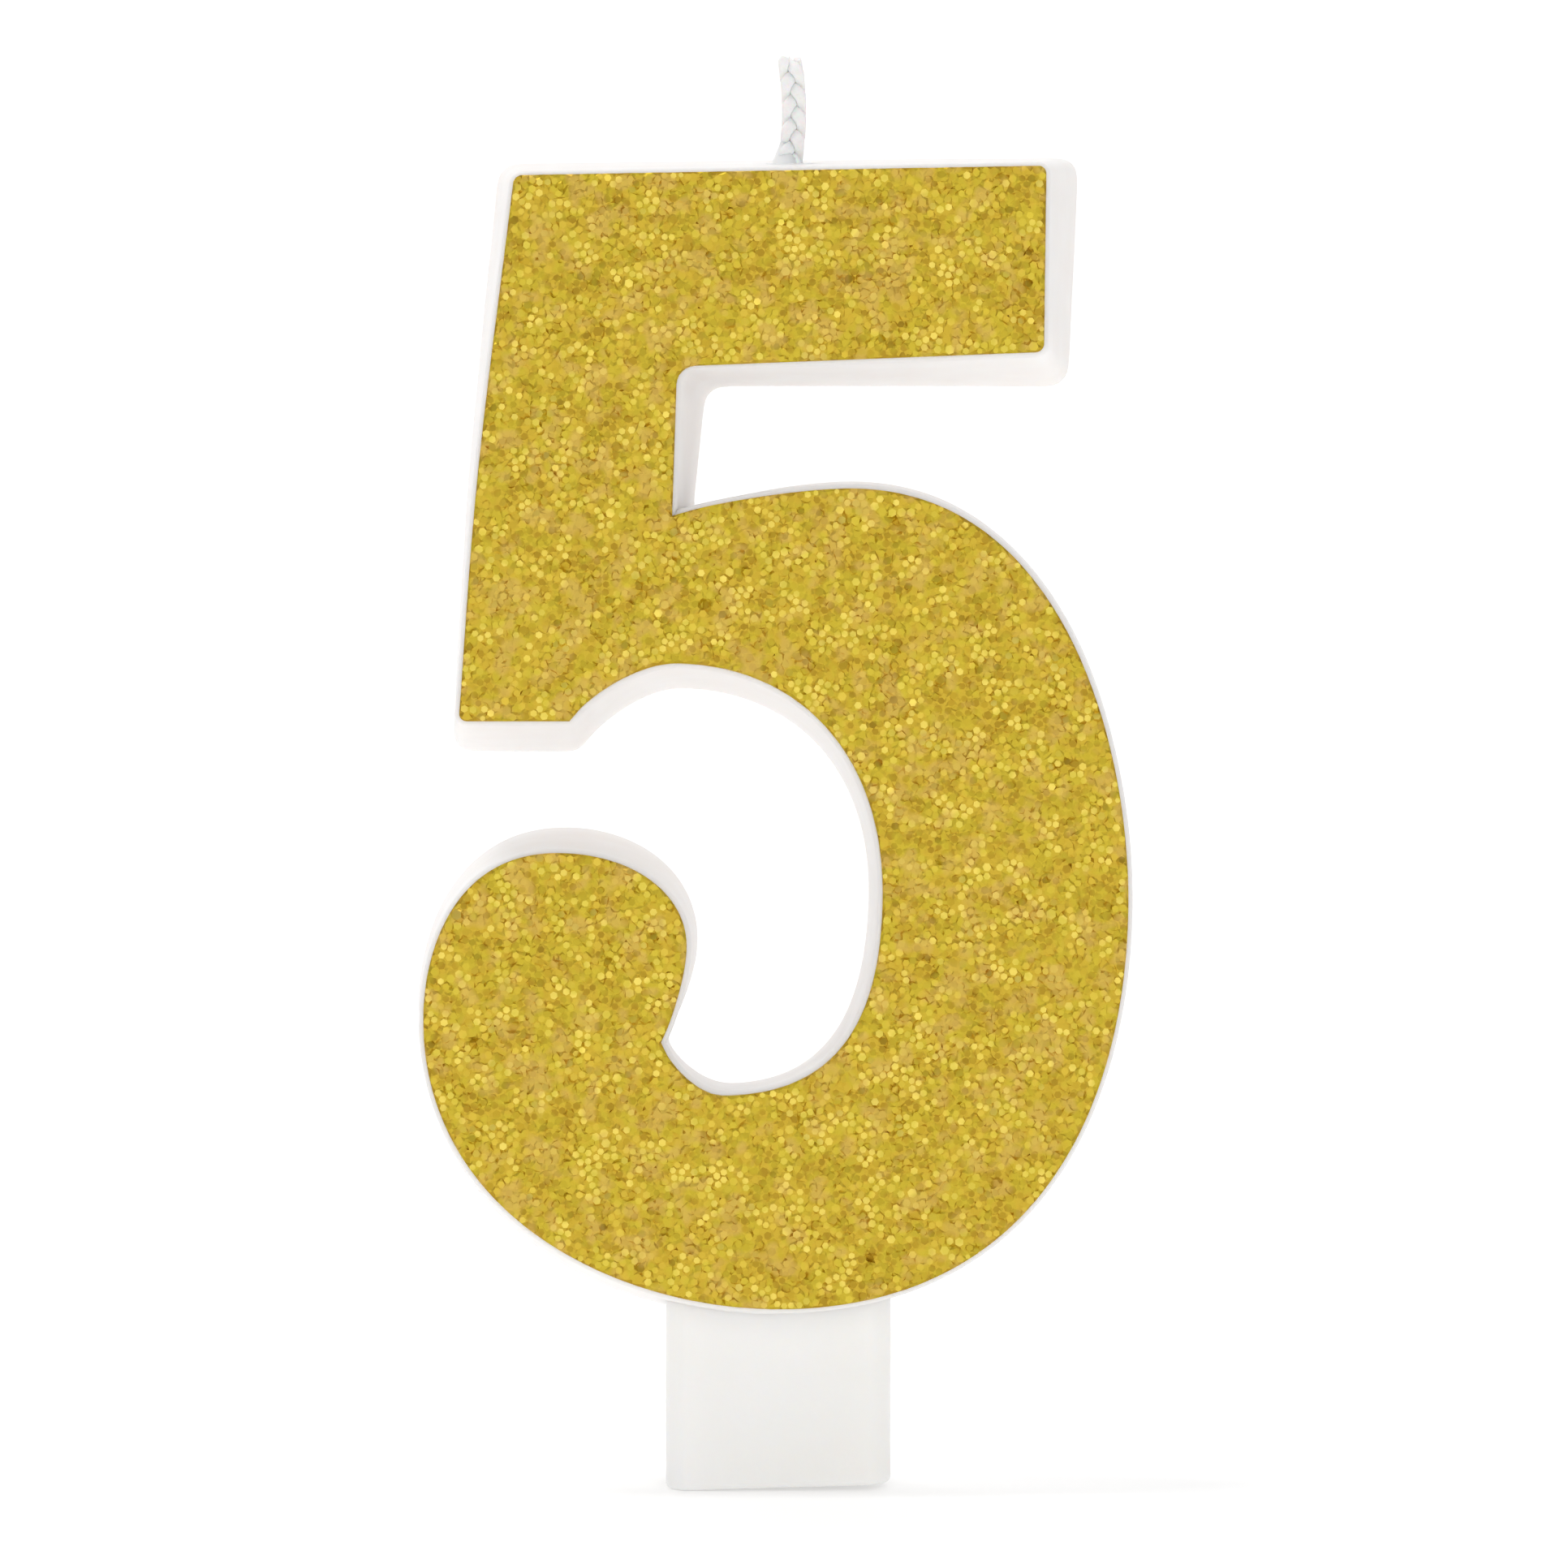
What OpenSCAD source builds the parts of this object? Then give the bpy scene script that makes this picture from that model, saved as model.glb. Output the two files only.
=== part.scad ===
// Number birthday candle, numeral 5.
// Frame: +X to the right as the numeral is read, +Z up, the glitter face towards -Y.
// Origin: the middle of the stem's blunt lower end.

/* [Numeral] */
// Height of the glitter face, from the lowest point of the bowl to the top right corner
numeral_h = 71.2; // [60:0.2:120]
// Thickness of the wax, from its face to its flat back
body_t = 12; // [9:0.5:16]
// Radius of the soft edge between the face and the walls
face_edge_r = 0.3; // [0.1:0.05:0.6]
// Radius of the soft edge round the back
back_edge_r = 0.7; // [0.3:0.1:1.2]

/* [Glitter face] */
// Thickness of the clear binder on the wax face
adhesive_t = 0.1; // [0.05:0.05:0.2]
// Thickness of the layer of flakes on the binder
glitter_t = 0.3; // [0.2:0.05:0.6]

/* [Stem] */
// Width of the stem
stem_w = 14.2; // [10:0.2:18]
// Thickness of the stem, front to back
stem_t = 6.6; // [4:0.2:8]
// Length of stem that shows below the bowl
stem_l = 11.8; // [8:0.2:30]
// Width of the bevel along each side of the stem's front
stem_bevel = 1.1; // [0.2:0.1:1.5]
// Radius of the stem's lower corners
stem_corner_r = 0.6; // [0.3:0.1:2]
// Distance of the stem's front behind the face of the wax
stem_setback = 2.6; // [1:0.2:4]
// Width of the tongue that is cast into the bottom stroke
tongue_w = 9; // [6:0.5:10]
// Length of the tongue above the lowest point of the bowl
tongue_l = 9; // [5:0.5:10]
// Thickness of the tongue
tongue_t = 3; // [2:0.2:4]
// Diameter of each hole in the tongue, which the wax runs through and keys
key_hole_d = 2.4; // [1:0.2:3]
// Distance between the two holes in the tongue
key_hole_gap = 4.4; // [3.4:0.2:5]

/* [Wick] */
// Length of wick above the top bar
wick_l = 7; // [4:0.5:12]
// Depth of the wick in the top bar
wick_depth = 9; // [4:0.5:10]
// Diameter of one cotton strand
strand_d = 0.5; // [0.4:0.02:0.5]
// Sideways swing of a strand in the plait, each way
plait_swing = 0.5; // [0.5:0.02:0.6]
// Front to back swing of a strand in the plait, each way
plait_weave = 0.36; // [0.36:0.02:0.4]
// Height of one full turn of the plait
plait_pitch = 4.4; // [3:0.2:8]
// Diameter of the hole that is drilled for the wick
bore_d = 3; // [2.6:0.1:4]
// Height of the wax collar that creeps up the wick
collar_h = 0.8; // [0.4:0.1:1.5]

/* [Hidden] */

// Smoothness of the drilled holes and of the wax seal
$fn = 48;
// The outlines below are drawn for a numeral this high, and scaled to numeral_h
drawn_h = 71.2;
scale_k = numeral_h / drawn_h;
// Points along a long curve, a short curve and a corner of the numeral
long_n = 14;
short_n = 6;
corner_n = 3;
// Fullness of a cubic that stands in for a quarter circle
round_k = 0.55;
// How far the bowl and the eye of the numeral run nearly level before their tops
bowl_lead = 6 * scale_k;
eye_lead = 4 * scale_k;
// Where the eye turns into its notch, and where the ball starts to curve back over the notch
notch_turn = 1.2 * scale_k;
ball_hang = 3 * scale_k;
// Steps round each soft edge, in degrees
edge_step = 30;

// Depths: the whole thickness is centred on the origin
total_t = body_t + adhesive_t + glitter_t;
y_face = -total_t / 2 + adhesive_t + glitter_t;
y_back = total_t / 2;

// Stem
stem_front = y_face + stem_setback;
stem_mid = stem_front + stem_t / 2;
// The full width of the stem goes this far into the wax, to follow the curve of the bowl
stem_root = 2.2;
// The holes are halfway up the tongue
key_hole_z = stem_l + (tongue_l + stem_root) / 2;

// Wick: where it stands on the top bar, and the small sideways bow of its free length
wick_x = 0.7;
wick_bow = 0.3;
wick_y = 0;
// The strands stand this far above the bottom of the drilled hole
wick_gap = 0.3;
strand_sides = 8;
strand_rings = 44;
// Clear radius round the plait, which the seal closes to
plait_r = plait_swing + strand_d / 2 + 0.01;
// The seal's shoulder stays this far below the top of the bar, inside the drilled hole
seal_sink = 0.3;
seal_lip = 0.08;

// ---------------------------------------------------------------- outlines

function along(p, q, t) = p + (q - p) * t;
function unit(v) = v / norm(v);
function reverse(list) = [for (i = [len(list) - 1 : -1 : 0]) list[i]];

// A cubic from p to q that leaves and arrives along the lines to c, without its last point.
// kp and kq say how far along those lines its handles reach.
function bend(p, c, q, kp, kq, n) = [
    for (i = [0 : n - 1])
        let (t = i / n, s = 1 - t, a = along(p, c, kp), b = along(q, c, kq))
            s * s * s * p + 3 * s * s * t * a + 3 * s * t * t * b + t * t * t * q
];

// A quarter turn that leaves p level and arrives at q upright
function level_to_upright(p, q, kp, kq) = bend(p, [q.x, p.y], q, kp, kq, long_n);
// A quarter turn that leaves p upright and arrives at q level
function upright_to_level(p, q, kp, kq) = bend(p, [p.x, q.y], q, kp, kq, long_n);

// A rounded corner at p between straight sides to the points before and after it
function corner(before, p, after, r) =
    let (start = p + r * unit(before - p), end = p + r * unit(after - p))
        concat(bend(start, p, end, round_k, round_k, corner_n), [end]);

// The numeral is one stroke: along the top bar, down, and round the bowl to the ball at its end.
// k holds the knots, in the same order for the face and for the back.

// The side that runs over the top, down the left edge and round the inside of the bowl
function inner_side(k, r) =
    let (
        top_right = k[0], top_left = k[1], edge_bow = k[2], serif_out = k[3], serif_in = k[4],
        eye_top = k[5], eye_right = k[6], eye_low = k[7], notch = k[8],
        ball_right = k[9], ball_top = k[10], bar_low = k[11]
    )
    concat(
        corner(bar_low, top_right, top_left, r),
        corner(top_right, top_left, edge_bow, r),
        [edge_bow],
        corner(edge_bow, serif_out, serif_in, r),
        bend(serif_in, [eye_top.x - eye_lead, eye_top.y], eye_top, 0.5, 0.5, short_n),
        level_to_upright(eye_top, eye_right, 0.6, 0.6),
        upright_to_level(eye_right, eye_low, 0.6, 0.75),
        bend(eye_low, [notch.x + notch_turn, eye_low.y], notch, 0.5, 0.5, short_n),
        bend(notch, [ball_right.x, notch.y + ball_hang], ball_right, 0.4, 0.6, short_n),
        upright_to_level(ball_right, ball_top, 0.55, 0.6)
    );

// The side that runs under the top bar, down its inner edge and round the outside of the bowl
function outer_side(k, r) =
    let (
        top_right = k[0], ball_top = k[10], bar_low = k[11], inner_top = k[12],
        inner_low = k[13], bowl_top = k[14], bowl_right = k[15], bowl_low = k[16],
        bowl_left = k[17]
    )
    concat(
        corner(top_right, bar_low, inner_top, r),
        corner(bar_low, inner_top, inner_low, inner_r),
        bend(inner_low, [bowl_top.x - bowl_lead, bowl_top.y], bowl_top, 0.5, 0.5, short_n),
        level_to_upright(bowl_top, bowl_right, 0.75, 0.4),
        upright_to_level(bowl_right, bowl_low, 0.49, 0.75),
        level_to_upright(bowl_low, bowl_left, 0.46, 0.67),
        upright_to_level(bowl_left, ball_top, 0.44, 0.75)
    );

// The closed outline, counterclockwise from the right end of the top bar, with outer corners of
// radius r
function outline(k, r) = concat(inner_side(k, r), [k[10]], reverse(outer_side(k, r)));

// Knots of the face, which the glitter covers, measured from the lowest point of the bowl
face_knots = scale_k * [
    [16.7, 71.2], [-16.45, 70.6], [-18.9, 50], [-19.9, 36.6], [-13, 36.6],
    [-6.5, 40.2], [6.5, 26], [-3.5, 13.3], [-7.3, 16.6],
    [-5.7, 22.6], [-13.8, 28.4], [16.55, 59.6], [-6.3, 58.7],
    [-6.6, 49.4], [4.5, 51.1], [21.8, 25.5], [0, 0],
    [-22.1, 18]
];
// The same knots at the back, where the mould is wider
back_knots = scale_k * [
    [19.4, 73.2], [-18.1, 72.8], [-20.2, 50], [-21.1, 34.8], [-12.9, 34.8],
    [-6.5, 38.9], [5.8, 26], [-3.3, 13.4], [-7.3, 16.4],
    [-5.2, 22.7], [-13.7, 29.9], [18.7, 58.4], [-4.7, 58.4],
    [-5.5, 50.3], [4.5, 52.3], [22.9, 25.5], [-1.5, -1.7],
    [-23.3, 18]
];
// Radius of the outer corners at the face and at the back
face_corner_r = 0.5;
back_corner_r = 1.2;
// Radius of the inside corner under the top bar
inner_r = 1.1;
face_line = outline(face_knots, face_corner_r);
back_line = outline(back_knots, back_corner_r);
line_n = len(face_line);
// Height of the top bar halfway through its thickness, where the wick stands
bar_top = stem_l + (face_knots[0].y + face_knots[1].y + back_knots[0].y + back_knots[1].y) / 4;
bore_bottom = bar_top - wick_depth;
wick_top = bar_top + wick_l;

// ---------------------------------------------------------------- shapes

// The direction out of the wax at point i of a closed counterclockwise outline
function outward(line, i) =
    let (n = len(line), d = line[(i + 1) % n] - line[(i + n - 1) % n])
        unit([d.y, -d.x]);

// The outline part of the way from the face to the back, moved out by grow, at one depth
function ring(part, grow, depth) =
    let (line = [for (i = [0 : line_n - 1]) along(face_line[i], back_line[i], part)])
        [for (i = [0 : line_n - 1])
            let (p = line[i] + grow * outward(line, i))
                [p.x, y_face + depth, stem_l + p.y]];

// The rings of the wax: the soft front edge, the sloping wall, the soft back edge
wax_rings = concat(
    [for (a = [0 : edge_step : 90])
        ring(0, face_edge_r * sin(a), face_edge_r * (1 - cos(a)))],
    [for (a = [0 : edge_step : 90])
        ring(1, back_edge_r * (cos(a) - 1), body_t - back_edge_r * (1 - sin(a)))]
);

// The triangles between successive rings that all have n points
function wall_faces(rings, n) = [
    for (k = [0 : len(rings) - 2], i = [0 : n - 1])
        let (a = k * n + i, b = k * n + (i + 1) % n)
            each [[a, b, a + n], [b, b + n, a + n]]
];

// Twice the area of the triangle p, q, r, negative where its corners run clockwise
function doubled_area(p, q, r) = cross(q - p, r - p);

function in_triangle(v, p, q, r) =
    doubled_area(p, q, v) >= 0 && doubled_area(q, r, v) >= 0 && doubled_area(r, p, v) >= 0;

// How full the triangle p, q, r is, or 0 if it holds a point and so can't be cut off
function fullness(p, q, r, points) =
    [for (v = points) if (v != p && v != r && in_triangle(v, p, q, r)) v] != [] ? 0
        : doubled_area(p, q, r) / pow(max(norm(q - p), norm(r - q), norm(p - r)), 2);

// Triangles that fill a loop of numbered corners of a line: the fullest ear is cut off first
function ears(line, loop, done) =
    len(loop) == 3 ? concat(done, [loop])
        : let (
            n = len(loop),
            turns = [for (i = [0 : n - 1]) [loop[(i + n - 1) % n], loop[i], loop[(i + 1) % n]]],
            areas = [for (t = turns) doubled_area(line[t[0]], line[t[1]], line[t[2]])],
            hollows = [for (i = [0 : n - 1]) if (areas[i] <= 0) line[loop[i]]],
            scores = [
                for (i = [0 : n - 1])
                    let (t = turns[i])
                        areas[i] > 0 ? fullness(line[t[0]], line[t[1]], line[t[2]], hollows) : 0
            ],
            best = search(max(scores), scores)[0]
        )
        ears(line, [for (i = [0 : n - 1]) if (i != best) loop[i]], concat(done, [turns[best]]));

// The triangles of the flat end that closes a ring of the wax
function flat_faces(ring) =
    ears([for (p = ring) [p.x, p.z]], [for (i = [0 : line_n - 1]) i], []);

function moved_up(faces, first) = [for (f = faces) [for (i = f) first + i]];
function flipped(faces) = [for (f = faces) reverse(f)];

// A closed tube over rings that all have n points, with flat ends
module tube(rings, n) {
    last = (len(rings) - 1) * n;
    polyhedron(
        points = [for (r = rings) each r],
        faces = concat(
            [[for (i = [n - 1 : -1 : 0]) i]],
            wall_faces(rings, n),
            [[for (i = [0 : n - 1]) last + i]]
        )
    );
}

// The wax before anything is set into it
module wax_blank() {
    last = len(wax_rings) - 1;
    polyhedron(
        points = [for (r = wax_rings) each r],
        faces = concat(
            flipped(flat_faces(wax_rings[0])),
            wall_faces(wax_rings, line_n),
            moved_up(flat_faces(wax_rings[last]), last * line_n)
        )
    );
}

// A flat layer with the outline of the face, whose back is at depth y
module face_layer(y, thick) {
    translate([0, y, stem_l])
        rotate([90, 0, 0])
            linear_extrude(thick)
                polygon(face_line);
}

// The stem without its tongue's holes: a peg with bevelled front edges
module stem_blank() {
    half_w = stem_w / 2;
    height = stem_l + stem_root;
    intersection() {
        linear_extrude(height)
            polygon([
                [-half_w + stem_bevel, stem_front], [half_w - stem_bevel, stem_front],
                [half_w, stem_front + stem_bevel], [half_w, stem_front + stem_t],
                [-half_w, stem_front + stem_t], [-half_w, stem_front + stem_bevel]
            ]);
        translate([0, y_back, 0])
            rotate([90, 0, 0])
                linear_extrude(total_t)
                    peg_front(half_w, height);
    }
    translate([-tongue_w / 2, stem_mid - tongue_t / 2, height])
        cube([tongue_w, tongue_t, tongue_l - stem_root]);
}

// The front view of the peg, with round lower corners
module peg_front(half_w, height) {
    for (side = [-1, 1])
        translate([side * (half_w - stem_corner_r), stem_corner_r])
            circle(stem_corner_r);
    translate([-half_w + stem_corner_r, 0])
        square([2 * (half_w - stem_corner_r), height]);
    translate([-half_w, stem_corner_r])
        square([2 * half_w, height - stem_corner_r]);
}

module key_holes() {
    for (side = [-1, 1])
        translate([side * key_hole_gap / 2, stem_mid + tongue_t, key_hole_z])
            rotate([90, 0, 0])
                cylinder(h = 2 * tongue_t, d = key_hole_d);
}

module stem_shape() {
    difference() {
        stem_blank();
        key_holes();
    }
}

// The middle of the plait at height z: upright in the wax, then slightly bowed
function wick_middle(z) =
    let (t = max(0, z - bar_top) / wick_l)
        [wick_x + wick_bow * sin(180 * t), wick_y];

// A point on the middle of a strand, which swings sideways once and weaves twice a turn
function strand_point(z, phase) =
    let (a = 360 * z / plait_pitch + phase, m = wick_middle(z))
        [m.x + plait_swing * sin(a), m.y + plait_weave * sin(2 * a), z];

function strand_ring(z, phase) =
    let (
        p = strand_point(z, phase),
        ahead = unit(strand_point(z + 0.01, phase) - strand_point(z - 0.01, phase)),
        side = unit(cross(ahead, [0, 1, 0])),
        front = cross(side, ahead)
    )
    [for (i = [0 : strand_sides - 1])
        let (a = -360 * i / strand_sides)
            p + strand_d / 2 * (cos(a) * side + sin(a) * front)];

module strand(phase) {
    z0 = bore_bottom + wick_gap + strand_d / 2;
    z1 = wick_top - strand_d / 2;
    tube([for (i = [0 : strand_rings]) strand_ring(along(z0, z1, i / strand_rings), phase)], strand_sides);
}

// ---------------------------------------------------------------- sub-parts

module wax_body() {
    color("#f1efea")
        difference() {
            wax_blank();
            stem_shape();
            translate([wick_x, wick_y, bore_bottom])
                cylinder(h = wick_depth + 2, d = bore_d);
        }
}

module stem() {
    color("#f2f1ee")
        stem_shape();
}

module wick_strand_1() {
    color("#eeedeb")
        strand(0);
}

module wick_strand_2() {
    color("#e9e7e3")
        strand(120);
}

module wick_strand_3() {
    color("#e4e2dd")
        strand(240);
}

// Wax that fills the drilled hole round the plait and creeps up it in a small collar
module wick_seal() {
    collar_r = bore_d / 2 - plait_r - seal_lip;
    shoulder = wick_depth - seal_sink;
    creep = seal_sink + collar_h;
    color("#f4f3f0")
        translate([wick_x, wick_y, bore_bottom])
            rotate_extrude()
                polygon(concat(
                    [[plait_r, 0], [bore_d / 2, 0]],
                    [for (a = [0 : 15 : 90])
                        [bore_d / 2 - collar_r * sin(a), shoulder + creep * (1 - cos(a))]],
                    [[plait_r, shoulder + creep]]
                ));
}

module adhesive_coat() {
    color("#efe9cf")
        face_layer(y_face, adhesive_t);
}

module glitter_coat() {
    color("#c9ac3c")
        face_layer(y_face - adhesive_t, glitter_t);
}

wax_body();
stem();
wick_strand_1();
wick_strand_2();
wick_strand_3();
wick_seal();
adhesive_coat();
glitter_coat();
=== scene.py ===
"""Looks of the numeral 5 birthday candle, built round its CAD frame.

Everything is in metres, with +Z up and the glitter face towards -Y, as in the frame. Outlines,
depths and heights are read from the frame's nodes. The constants below hold only the finer
detail that the frame doesn't have: soft edges, flakes, yarns, pour marks and finishes.
"""
import math
from collections import Counter, defaultdict

import bmesh
import bpy
import numpy as np
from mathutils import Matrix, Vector, kdtree, noise
from mathutils.geometry import delaunay_2d_cdt


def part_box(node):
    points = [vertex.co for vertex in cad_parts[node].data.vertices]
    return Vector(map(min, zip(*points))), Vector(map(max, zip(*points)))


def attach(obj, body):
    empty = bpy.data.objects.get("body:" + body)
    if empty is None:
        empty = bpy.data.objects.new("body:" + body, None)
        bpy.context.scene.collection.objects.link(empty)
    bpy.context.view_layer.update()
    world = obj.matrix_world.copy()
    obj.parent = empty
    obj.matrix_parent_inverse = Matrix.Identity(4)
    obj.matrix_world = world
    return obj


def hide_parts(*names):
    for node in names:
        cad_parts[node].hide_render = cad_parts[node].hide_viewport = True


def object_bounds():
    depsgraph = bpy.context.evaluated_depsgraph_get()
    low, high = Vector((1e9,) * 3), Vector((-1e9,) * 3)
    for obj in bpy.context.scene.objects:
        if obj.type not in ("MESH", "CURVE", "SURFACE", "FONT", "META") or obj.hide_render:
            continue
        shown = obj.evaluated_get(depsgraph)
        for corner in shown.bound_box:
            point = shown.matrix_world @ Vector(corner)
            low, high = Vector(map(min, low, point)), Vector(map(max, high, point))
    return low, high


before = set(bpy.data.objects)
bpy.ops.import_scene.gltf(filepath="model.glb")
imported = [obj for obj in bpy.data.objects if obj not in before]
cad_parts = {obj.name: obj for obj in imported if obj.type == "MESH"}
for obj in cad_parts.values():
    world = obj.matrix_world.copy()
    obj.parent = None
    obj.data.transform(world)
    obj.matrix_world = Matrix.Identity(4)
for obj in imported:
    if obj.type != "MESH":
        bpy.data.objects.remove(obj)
cad_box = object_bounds()

MM = 0.001
ROOT = "root"
rng = np.random.default_rng(5)

# ------------------------------------------------------------------ sizes, in metres

# Outlines: two points of the frame count as one depth within this, and fine points are this far apart
LEVEL_TOLERANCE = 0.02 * MM
OUTLINE_STEP = 0.5 * MM
SHARP_TURN = math.radians(35)
LONG_NEIGHBOUR = 3

# Wax body
FACE_EDGE_R = 0.3 * MM
BACK_EDGE_R = 0.7 * MM
BACK_SOFTENING = 3
EDGE_STEPS = 6
WALL_STEP = 0.6 * MM
WAX_SHARP_EDGE = math.radians(50)
WAVE_HEIGHT = 0.05 * MM
WAVE_LENGTH = 7 * MM
WAVE_START = 1.5 * MM
BACK_GRID = 0.7 * MM
MENISCUS_WIDTH = 2.2 * MM
MENISCUS_SINK = 0.25 * MM
POUR_RIPPLE = 0.05 * MM
POUR_RIPPLE_LENGTH = 4 * MM
BORE_SIDES = 48

# Glitter: one layer of hexagonal flakes that lie at all small angles
FLAKE_SIDES = 6
FLAKE_SPACING = 0.43 * MM
FLAKE_FILL = 0.49
TONE_PATCH = 0.8 * MM
FLAKE_TILT = math.radians(10)
FLAKE_TILT_MOST = math.radians(38)
STEEP_FLAKES = 0.06
FLAKE_LOW = 0.16 * MM
FLAKE_HIGH = 0.25 * MM
TONE_MIDDLE = 0.48
TONE_SPREAD = 1.25
TONE_MOST = 0.95
# Share of flakes painted the brightest tone as painted glints
GLINT_FLAKES = 0.012
# Creases between the flakes take this darker tone as painted shade; the coat's edge takes RIM_TONE,
# the darkest, as a dark line along the gold
CREASE_SHADE_TONE = 0.42
RIM_TONE = 0.0
GLOSS_LOW = 0.38
GLOSS_HIGH = 0.55
CREASE_GLOSS = 0.5
CREASE_MARGIN = 0.03 * MM
CREASE_SPACING = 0.16 * MM
CREASE_LOW = 0.11 * MM
CREASE_HIGH = 0.19 * MM
DART_TRIES = 14

# Stem
STEM_EDGE_R = 0.5 * MM
BEVEL_EDGE_R = 0.45 * MM
STEM_STEP = 0.6 * MM
STEM_END_SLOPE = 0.4 * MM
STEM_SHARP_EDGE = math.radians(40)

# Wick: the plait's shape repeats the frame's
WICK_LENGTH = 7 * MM
PLAIT_SWING = 0.5 * MM
PLAIT_WEAVE = 0.36 * MM
PLAIT_PITCH = 4.4 * MM
WICK_BOW = 0.3 * MM
STRAND_R = 0.27 * MM
STRAND_FLATNESS = 1.55
WICK_HALF_WIDTH = 0.77 * MM
WICK_HALF_DEPTH = 0.6 * MM
YARN_LOBES = 5
YARN_DEPTH = 0.05
YARN_PITCH = 2.6 * MM
STRAND_SIDES = 30
STRAND_STEP = 0.09 * MM
STRAND_GAP = 0.004 * MM
STRAND_SHARP_EDGE = math.radians(60)
STRAND_TURNS = (0, 2 * math.pi / 3, 4 * math.pi / 3)
FIBRE_COUNT = 24
FIBRE_R = 0.012 * MM
SEAL_FLARE = 0.36 * MM
SEAL_CLIMB = 1.4 * MM
SEAL_CLIMB_LEAST = 0.2 * MM
SEAL_SINK = 0.02 * MM
SEAL_CORE_R = 0.4 * MM
SEAL_SIDES = 64
SEAL_SKIRT = 0.08 * MM
BAR_SAMPLE = 1.5 * MM

# Camera and stage
CAMERA_DISTANCE = 0.300
FRAME_WIDTH = 0.09755
AIM_X = 0.36 * MM
AIM_Z = 44.5 * MM
SENSOR = 36.0
FLOOR_GLOW = 0.24
SKY_GLOW = 0.56

# ------------------------------------------------------------------ colours, linear

WAX_WHITE = (0.90, 0.873, 0.853)
WAX_CREAM = (0.885, 0.843, 0.815)
STEM_WHITE = (0.94, 0.93, 0.915)
STEM_CREAM = (0.915, 0.905, 0.88)
COTTON = (0.96, 0.955, 0.95)
COTTON_SHADE = (0.92, 0.91, 0.9)
BINDER_AMBER = (0.80, 0.70, 0.42)
BINDER_PALE = (0.86, 0.79, 0.58)
GOLD_GREEN = (0.60, 0.50, 0.04)
GOLD_TAN = (0.67, 0.45, 0.11)
# From the darkest flake to the brightest, by the tone that paint_flakes gives it; the spread is partly
# the flakes' own tint and partly painted reflection
GOLD_TONES = [
    (0.0, (0.45, 0.285, 0.027)),
    (0.25, (0.55, 0.372, 0.034)),
    (0.5, (0.67, 0.472, 0.052)),
    (0.8, (0.755, 0.56, 0.075)),
    (1.0, (0.88, 0.70, 0.14)),
]


# ------------------------------------------------------------------ camera

def make_camera():
    """Level with the numeral's middle and square to its face, as a product picture is taken."""
    low = cad_box[0]
    data = bpy.data.cameras.new("camera")
    data.sensor_width = SENSOR
    data.lens = SENSOR * CAMERA_DISTANCE / FRAME_WIDTH
    data.clip_start = 0.01
    data.clip_end = 20
    camera = bpy.data.objects.new("camera", data)
    camera.location = (AIM_X, low.y - CAMERA_DISTANCE, low.z + AIM_Z)
    camera.rotation_euler = (math.radians(90), 0, 0)
    bpy.context.scene.collection.objects.link(camera)
    bpy.context.scene.camera = camera


make_camera()


# ------------------------------------------------------------------ outlines from the frame

def ring_at(node, y):
    """A node's outline at depth y, as an array of x and z, counterclockwise as seen from the front."""
    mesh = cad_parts[node].data
    spot = [(round(v.co.x, 6), round(v.co.z, 6)) for v in mesh.vertices]
    level = [abs(v.co.y - y) < LEVEL_TOLERANCE for v in mesh.vertices]
    flat_faces = Counter()
    for face in mesh.polygons:
        if all(level[v] for v in face.vertices):
            flat_faces.update(frozenset((spot[a], spot[b])) for a, b in face.edge_keys)
    links = defaultdict(set)
    for edge in mesh.edges:
        a, b = edge.vertices
        pair = frozenset((spot[a], spot[b]))
        if level[a] and level[b] and len(pair) == 2 and flat_faces[pair] < 2:
            links[spot[a]].add(spot[b])
            links[spot[b]].add(spot[a])
    start = max(links)
    ring, last, here = [start], None, start
    while len(ring) <= len(links):
        onward = [p for p in sorted(links[here]) if p != last]
        last, here = here, onward[0]
        if here == start:
            break
        ring.append(here)
    ring = np.array(ring)
    return ring if signed_area(ring) > 0 else ring[::-1]


def signed_area(ring):
    x, z = ring.T
    return 0.5 * np.sum(x * np.roll(z, -1) - z * np.roll(x, -1))


def matched(ring, other):
    """The other ring, turned so that its points pair up with this ring's points."""
    shift = min(range(len(other)), key=lambda s: np.sum((ring - np.roll(other, s, 0)) ** 2))
    return np.roll(other, shift, 0)


def directions(ring):
    """The direction in which a smooth curve arrives at and leaves each point of a ring."""
    ahead = np.roll(ring, -1, 0) - ring
    length = np.linalg.norm(ahead, axis=1)[:, None]
    after = ahead / length
    before, length_before = np.roll(after, 1, 0), np.roll(length, 1, 0)
    smooth = (before * length + after * length_before) / (length + length_before)
    smooth = np.where(length_before > LONG_NEIGHBOUR * length, before, smooth)
    smooth = np.where(length > LONG_NEIGHBOUR * length_before, after, smooth)
    sharp = np.sum(before * after, 1)[:, None] < math.cos(SHARP_TURN)
    return np.where(sharp, before, smooth), np.where(sharp, after, smooth)


def finer(rings, step):
    """The same rings with matching extra points on smooth curves, no further apart than step."""
    spans = [np.linalg.norm(np.roll(r, -1, 0) - r, axis=1) for r in rings]
    counts = np.ceil(np.maximum(*spans) / step).astype(int)
    result = []
    for ring, span in zip(rings, spans):
        arriving, leaving = directions(ring)
        points = []
        for i, count in enumerate(counts):
            j = (i + 1) % len(ring)
            t = np.arange(count)[:, None] / count
            points.append(
                (1 + 2 * t) * (1 - t) ** 2 * ring[i]
                + t * (1 - t) ** 2 * span[i] * leaving[i]
                + t * t * (3 - 2 * t) * ring[j]
                + t * t * (t - 1) * span[i] * arriving[j]
            )
        result.append(np.vstack(points))
    return result


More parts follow.
